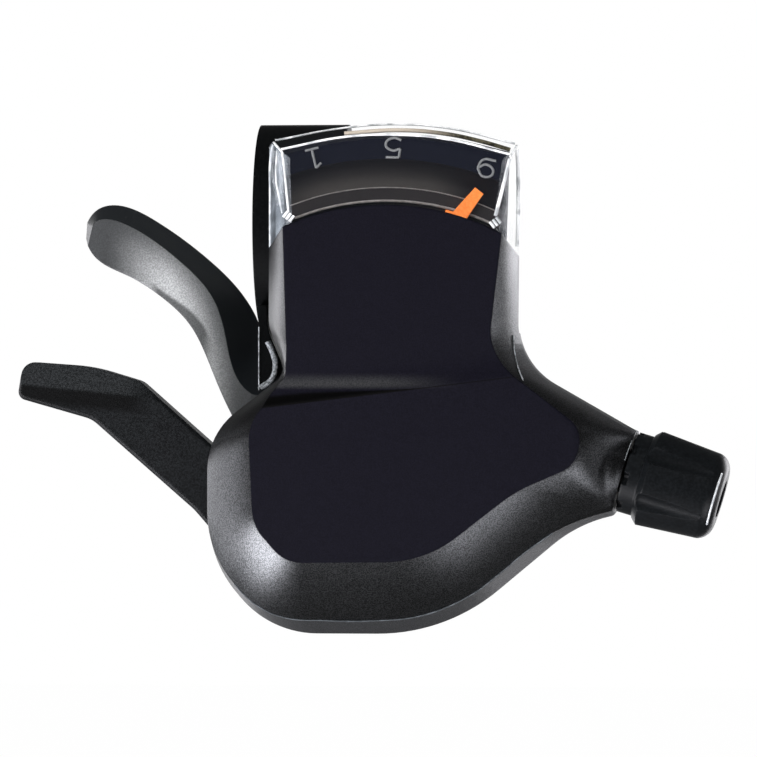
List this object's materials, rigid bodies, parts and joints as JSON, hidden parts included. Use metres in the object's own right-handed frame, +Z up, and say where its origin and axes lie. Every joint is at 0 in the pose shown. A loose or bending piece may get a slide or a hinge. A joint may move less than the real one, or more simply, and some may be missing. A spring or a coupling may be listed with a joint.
{
  "type": "bicycle gear shifter",
  "caption": "Trigger gear shifter with a bar clamp, a clear indicator window with a needle, a thumb lever, a finger lever and a cable barrel adjuster.",
  "frame": {"origin": "centre of the handlebar clamp's bore, half way along it", "axes": "+X along the handlebar towards the barrel adjuster, +Z up from the cover towards the clamp, and the cover and indicator face -Y"},
  "size_m": [0.0987, 0.0464, 0.071],
  "materials": {
    "bracket_metal": "black anodised satin",
    "bolt_steel": "satin",
    "plate_steel": "satin",
    "spring_steel": "satin",
    "cover_plastic": "dark grey satin sides, near-black panel",
    "rear_plastic": "matte",
    "lens_plastic": "clear gloss",
    "dial_plastic": "matte",
    "needle_plastic": "bright orange",
    "gear_plastic": "matte",
    "thumb_plastic": "grey satin",
    "finger_plastic": "matte, finely textured",
    "knob_plastic": "satin"
  },
  "bodies": {
    "housing": {"clamp_bracket": "bracket_metal", "clamp_bolt": "bolt_steel", "clamp_nut": "bolt_steel", "top_cover": "cover_plastic", "indicator_lens": "lens_plastic", "rear_cover": "rear_plastic", "cover_screws": "bolt_steel", "dial_plate": "dial_plastic", "main_axle": "bolt_steel", "axle_nut": "bolt_steel", "axle_washer": "bolt_steel", "spring_bush": "gear_plastic", "hold_pawl_pin": "bolt_steel", "hold_pawl_spring": "spring_steel", "main_lever_spring": "spring_steel", "release_lever_spring": "spring_steel"},
    "needle": {"needle": "needle_plastic"},
    "idler": {"indicator_idler": "gear_plastic"},
    "drum": {"cable_drum": "gear_plastic", "ratchet_wheel": "plate_steel"},
    "hold_pawl": {"hold_pawl": "plate_steel"},
    "main_lever": {"main_lever_plate": "plate_steel", "main_lever_paddle": "thumb_plastic", "feed_pawl_pin": "bolt_steel", "feed_pawl_spring": "spring_steel"},
    "feed_pawl": {"feed_pawl": "plate_steel"},
    "release_lever": {"release_lever_plate": "plate_steel", "release_lever_pad": "finger_plastic"},
    "adjuster": {"adjuster_knob": "knob_plastic", "adjuster_screw": "bolt_steel"}
  },
  "joints": [
    {"name": "drum_turn", "type": "hinge", "parent": "housing", "child": "drum", "pos_m": [0.0123, 0, -0.0317], "axis": [0, -1, 0], "range_deg": [0, 160]},
    {"name": "idler_turn", "type": "hinge", "parent": "housing", "child": "idler", "pos_m": [0.00705, 0, -0.04079], "axis": [0, -1, 0], "range_deg": [-80, 0]},
    {"name": "needle_turn", "type": "hinge", "parent": "housing", "child": "needle", "pos_m": [0.0123, 0, -0.0317], "axis": [0, -1, 0], "range_deg": [0, 32]},
    {"name": "main_lever_swing", "type": "hinge", "parent": "housing", "child": "main_lever", "pos_m": [0.0123, 0, -0.0317], "axis": [0, -1, 0], "range_deg": [0, 40], "stiffness_Nm_per_rad": 0.05, "springref_deg": -28.65},
    {"name": "release_lever_swing", "type": "hinge", "parent": "housing", "child": "release_lever", "pos_m": [0.0123, 0, -0.0317], "axis": [0, -1, 0], "range_deg": [-10, 0], "stiffness_Nm_per_rad": 0.05, "springref_deg": 28.65},
    {"name": "hold_pawl_swing", "type": "hinge", "parent": "housing", "child": "hold_pawl", "pos_m": [0.02052, 0, -0.01928], "axis": [0, -1, 0], "range_deg": [0, 5], "stiffness_Nm_per_rad": 0.002, "springref_deg": -22.92},
    {"name": "feed_pawl_swing", "type": "hinge", "parent": "main_lever", "child": "feed_pawl", "pos_m": [0.00408, 0, -0.04412], "axis": [0, -1, 0], "range_deg": [0, 5], "stiffness_Nm_per_rad": 0.002, "springref_deg": -22.92},
    {"name": "adjuster_turn", "type": "hinge", "parent": "housing", "child": "adjuster", "pos_m": [0.01434, -0.0092, -0.0248], "axis": [0.9517, -0.1219, -0.2819], "continuous": true}
  ],
  "couplings": [
    {"joint": "idler_turn", "follows": "drum_turn", "ratio": -0.5},
    {"joint": "needle_turn", "follows": "drum_turn", "ratio": 0.2}
  ]
}
